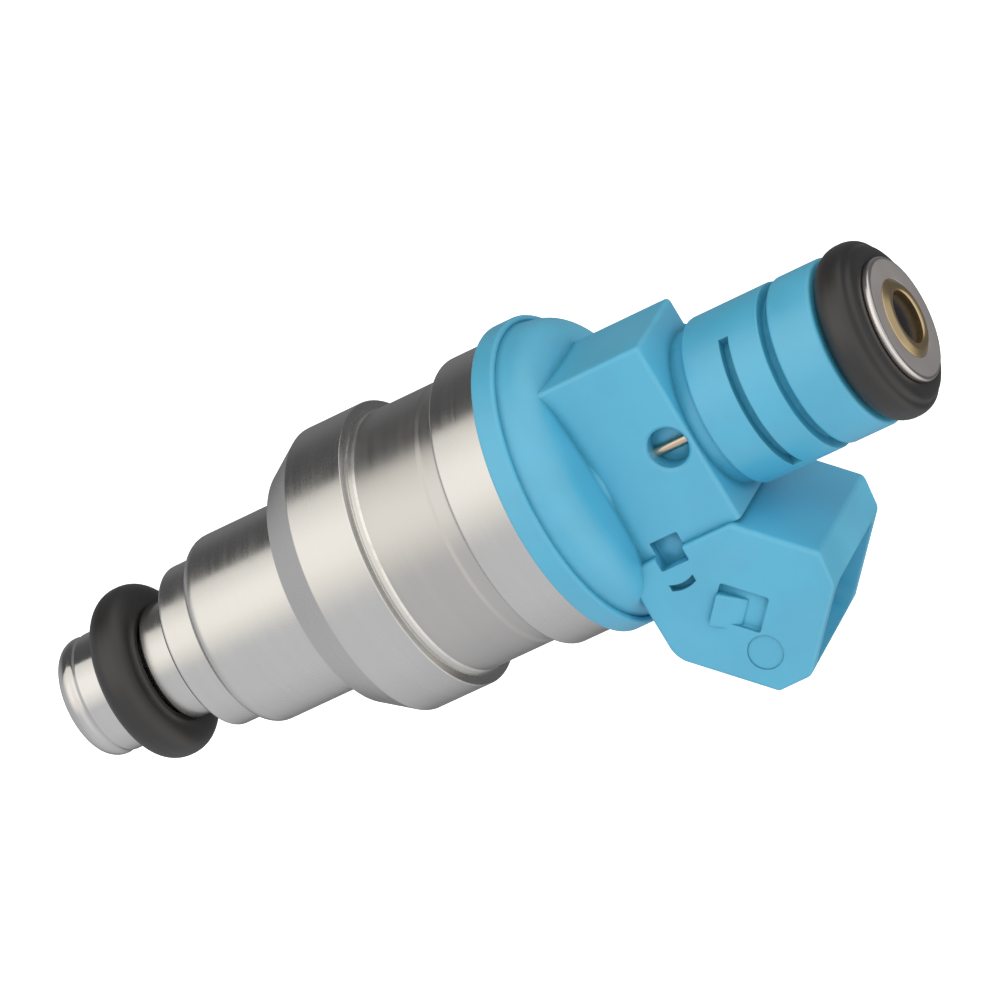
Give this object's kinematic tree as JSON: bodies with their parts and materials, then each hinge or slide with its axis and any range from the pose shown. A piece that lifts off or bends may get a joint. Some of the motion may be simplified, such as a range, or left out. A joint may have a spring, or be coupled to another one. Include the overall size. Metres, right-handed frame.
{
  "type": "fuel injector",
  "caption": "Top-feed electromagnetic fuel injector with stepped steel body, moulded plastic overmould and angled two-blade electrical socket.",
  "frame": {"origin": "centre of the nozzle end, on the injector axis", "axes": "+Z along the injector axis from the nozzle to the fuel inlet, +X towards the side that carries the electrical socket, +Y across the socket"},
  "size_m": [0.0337, 0.026, 0.0779],
  "materials": {
    "cap_chrome": "polished bright steel cup",
    "turned_steel": "fine turned stainless steel",
    "tube_steel": "matt stainless tube with a burnished rim",
    "ground_steel": "ground and lapped steel",
    "spring_steel": "drawn spring wire",
    "sleeve_brass": "drawn brass",
    "winding_copper": "enamelled copper wire",
    "blade_tin": "tinned contact blade",
    "seal_rubber": "smooth black moulded rubber",
    "body_plastic": "light blue glass-filled moulding, satin",
    "bobbin_plastic": "dark moulded plastic",
    "mesh_nylon": "fine woven nylon screen"
  },
  "bodies": {
    "injector_body": {"nozzle_cap": "cap_chrome", "lower_o_ring": "seal_rubber", "valve_body": "turned_steel", "lift_stop_washer": "ground_steel", "housing_seal": "seal_rubber", "lower_housing": "turned_steel", "solenoid_shell": "turned_steel", "crimp_collar": "turned_steel", "flux_washer": "ground_steel", "spacer_ring": "sleeve_brass", "coil_bobbin": "bobbin_plastic", "coil_winding": "winding_copper", "coil_seal_lower": "seal_rubber", "coil_seal_upper": "seal_rubber", "return_spring": "spring_steel", "inlet_tube": "tube_steel", "adjuster_sleeve": "sleeve_brass", "filter_collar": "sleeve_brass", "filter_cage": "bobbin_plastic", "filter_mesh": "mesh_nylon", "terminal_near": "blade_tin", "terminal_far": "blade_tin", "coil_lead_near": "winding_copper", "coil_lead_far": "winding_copper", "overmould_body": "body_plastic", "upper_o_ring": "seal_rubber"},
    "needle_assembly": {"needle": "ground_steel", "armature": "ground_steel"}
  },
  "joints": [
    {"name": "needle_lift", "type": "slide", "parent": "injector_body", "child": "needle_assembly", "axis": [0, 0, 1], "range_m": [0, 0.0001], "stiffness_N_per_m": 60, "springref_m": -0.0002, "deforming": ["return_spring"]}
  ]
}
